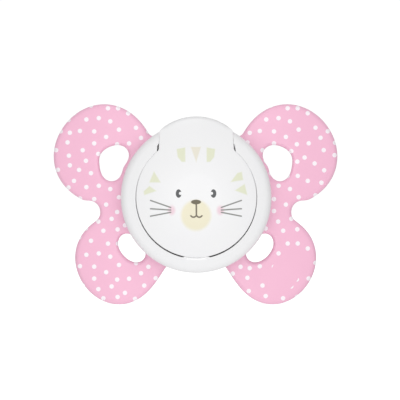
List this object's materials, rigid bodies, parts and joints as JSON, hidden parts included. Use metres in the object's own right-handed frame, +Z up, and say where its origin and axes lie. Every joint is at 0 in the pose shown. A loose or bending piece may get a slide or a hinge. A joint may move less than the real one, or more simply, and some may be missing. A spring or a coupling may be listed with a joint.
{
  "type": "pacifier",
  "caption": "Orthodontic silicone pacifier with a butterfly-shaped vented mouth shield and a round domed knob whose ring handle folds flush around its cover.",
  "frame": {"origin": "centre of the flat middle of the knob's front face, on the teat's axis", "axes": "+Z up with the printed face upright, +X to the viewer's right seen from the front, +Y along the teat's axis from the knob towards the teat's tip"},
  "size_m": [0.062, 0.041, 0.0437],
  "materials": {
    "pink_plastic": "satin pale pink polypropylene printed with white polka dots",
    "white_plastic": "smooth satin white polypropylene",
    "clear_silicone": "clear soft silicone, slightly matt"
  },
  "bodies": {
    "pacifier": {"shield": "pink_plastic", "teat": "clear_silicone", "teat_plug": "white_plastic", "knob_base": "white_plastic", "face_cover": "white_plastic"},
    "handle": {"ring_handle": "white_plastic"}
  },
  "joints": [
    {"name": "handle_hinge", "type": "hinge", "parent": "pacifier", "child": "handle", "pos_m": [0, 0.0052, 0.0123], "axis": [-1, 0, 0], "range_deg": [0, 110]}
  ]
}
